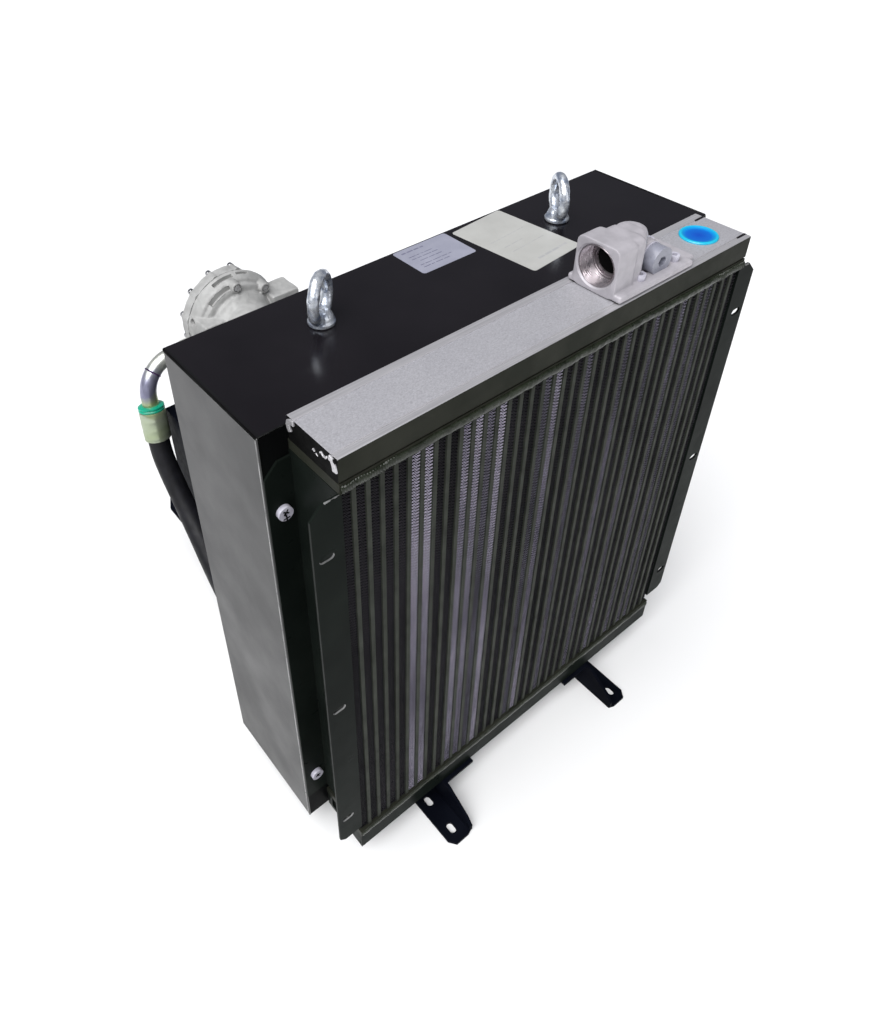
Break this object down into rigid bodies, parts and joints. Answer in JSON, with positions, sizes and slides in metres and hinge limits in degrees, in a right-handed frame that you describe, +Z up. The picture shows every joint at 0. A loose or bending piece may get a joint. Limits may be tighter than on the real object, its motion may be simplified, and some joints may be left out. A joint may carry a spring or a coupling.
{
  "type": "hydraulic oil cooler",
  "caption": "Air-blast hydraulic oil cooler with a finned core in a sheet housing, motor-driven fan, gear circulation pump, bypass valve block and hose.",
  "frame": {"origin": "on the floor, under the middle of the foot rails", "axes": "+X along the face of the core, +Y from the core towards the pump, +Z up"},
  "size_m": [0.582, 0.766, 0.7245],
  "materials": {
    "painted_core": "satin",
    "fin_aluminium": "satin",
    "bare_aluminium": "satin",
    "zinc": "satin",
    "black_sheet": "satin",
    "rubber": "matte",
    "label": "satin",
    "cast_aluminium": "matte",
    "steel": "satin",
    "blue_plastic": "gloss",
    "black_plastic": "satin",
    "black_wire": "satin",
    "motor_paint": "satin",
    "copper": "satin",
    "yellow_zinc": "satin",
    "green_ring": "gloss",
    "hose_rubber": "matte"
  },
  "bodies": {
    "frame": {"oil_tubes": "painted_core", "air_fins": "fin_aluminium", "tube_plates": "painted_core", "header_top": "bare_aluminium", "header_bottom": "painted_core", "header_end_caps": "painted_core", "side_plate_left": "painted_core", "side_plate_right": "painted_core", "core_screws": "zinc", "flange_nuts": "zinc", "fan_housing": "black_sheet", "shroud_panel": "black_sheet", "pipe_grommet": "rubber", "foot_rail_left": "black_sheet", "foot_rail_right": "black_sheet", "rail_bolts": "zinc", "eye_bolt_left": "zinc", "eye_bolt_right": "zinc", "eye_nuts": "zinc", "rating_label": "label", "info_label": "label", "valve_block": "cast_aluminium", "block_gasket": "rubber", "block_screws": "zinc", "plug_washer": "zinc", "screw_plug": "zinc", "bypass_spring": "steel", "port_cap": "blue_plastic", "fan_guard": "black_wire", "motor_pedestal": "black_sheet", "motor_housing": "motor_paint", "motor_front_shield": "motor_paint", "motor_rear_shield": "motor_paint", "motor_bearings": "steel", "stator_core": "steel", "stator_windings": "copper", "motor_bolts": "zinc", "terminal_box": "motor_paint", "terminal_lid": "motor_paint", "cable_glands": "black_plastic", "lid_screws": "zinc", "pump_body": "cast_aluminium", "shaft_seal": "rubber", "pump_cover": "cast_aluminium", "pump_screws": "zinc", "elbow_tube": "yellow_zinc", "elbow_nut": "yellow_zinc", "hose_ring": "green_ring", "upper_ferrule": "yellow_zinc", "lower_ferrule": "yellow_zinc", "inlet_pipe": "steel", "pressure_hose": "hose_rubber"},
    "rotor": {"motor_shaft": "steel", "motor_rotor": "steel", "fan_hub": "cast_aluminium", "fan_blades": "black_plastic", "fan_clamp": "steel", "pump_drive_gear": "steel"},
    "idler": {"pump_idler_gear": "steel"},
    "bypass_valve": {"bypass_piston": "steel"}
  },
  "joints": [
    {"name": "shaft_spin", "type": "hinge", "parent": "frame", "child": "rotor", "pos_m": [0, 0, 0.353], "axis": [0, 1, 0], "continuous": true},
    {"name": "idler_spin", "type": "hinge", "parent": "frame", "child": "idler", "pos_m": [0.042, 0.324, 0.353], "axis": [0, 1, 0], "continuous": true},
    {"name": "bypass_slide", "type": "slide", "parent": "frame", "child": "bypass_valve", "axis": [0, -1, 0], "range_m": [0, 0.004], "stiffness_N_per_m": 3000, "springref_m": -0.006, "deforming": ["bypass_spring"]}
  ],
  "couplings": [
    {"joint": "idler_spin", "follows": "shaft_spin", "ratio": -1}
  ]
}
